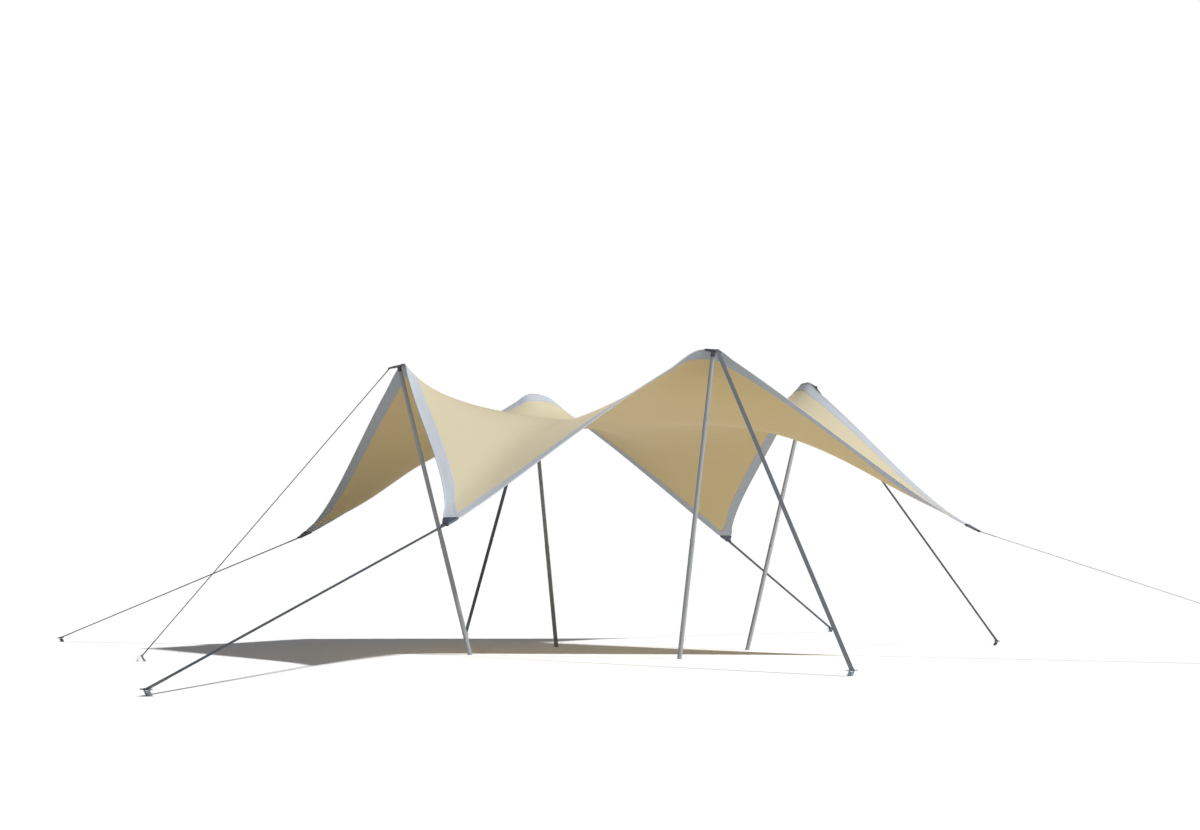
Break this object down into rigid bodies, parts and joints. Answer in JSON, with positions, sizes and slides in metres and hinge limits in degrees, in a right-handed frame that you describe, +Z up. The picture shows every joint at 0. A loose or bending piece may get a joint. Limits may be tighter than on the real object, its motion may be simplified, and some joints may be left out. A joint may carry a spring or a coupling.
{
  "type": "stretch tent",
  "caption": "Stretch tent: a sand fabric sheet with a grey hem, held at peaks by leaning telescopic poles and at low corners, guyed by webbing straps to ground stakes.",
  "frame": {"origin": "on the ground under the middle of the sheet, which is the middle of the stakes' box", "axes": "+Z up, the shortest extent; the front pole stands towards -Y and the right pole towards +X, and the sheet's low corners lie on the diagonals"},
  "size_m": [11.4996, 11.1612, 3.0152],
  "materials": {
    "sand_fabric": "woven stretch fabric, sand, matt",
    "grey_hem": "light grey stitched webbing band, matt",
    "slate_casting": "cast clamp plate, slate grey powder coat",
    "satin_aluminium": "satin anodised tube",
    "dark_head": "turned dark polymer pole head",
    "slate_webbing": "slate grey polyester webbing",
    "stake_steel": "grey coated steel, worn"
  },
  "bodies": {
    "root": {"canopy": "sand_fabric", "front_hem": "grey_hem", "right_hem": "grey_hem", "back_hem": "grey_hem", "left_hem": "grey_hem", "front_left_plate": "slate_casting", "front_plate": "slate_casting", "front_right_plate": "slate_casting", "right_plate": "slate_casting", "back_right_plate": "slate_casting", "back_plate": "slate_casting", "back_left_plate": "slate_casting", "left_plate": "slate_casting", "front_pole_head": "dark_head", "front_pole_upper": "satin_aluminium", "front_pole_middle": "satin_aluminium", "front_pole_lower": "satin_aluminium", "right_pole_head": "dark_head", "right_pole_upper": "satin_aluminium", "right_pole_middle": "satin_aluminium", "right_pole_lower": "satin_aluminium", "back_pole_head": "dark_head", "back_pole_upper": "satin_aluminium", "back_pole_middle": "satin_aluminium", "back_pole_lower": "satin_aluminium", "left_pole_head": "dark_head", "left_pole_upper": "satin_aluminium", "left_pole_middle": "satin_aluminium", "left_pole_lower": "satin_aluminium", "front_left_strap": "slate_webbing", "front_strap": "slate_webbing", "front_right_strap": "slate_webbing", "right_strap": "slate_webbing", "back_right_strap": "slate_webbing", "back_strap": "slate_webbing", "back_left_strap": "slate_webbing", "left_strap": "slate_webbing", "front_left_stake": "stake_steel", "front_stake": "stake_steel", "front_right_stake": "stake_steel", "right_stake": "stake_steel", "back_right_stake": "stake_steel", "back_stake": "stake_steel", "back_left_stake": "stake_steel", "left_stake": "stake_steel"}
  },
  "joints": []
}
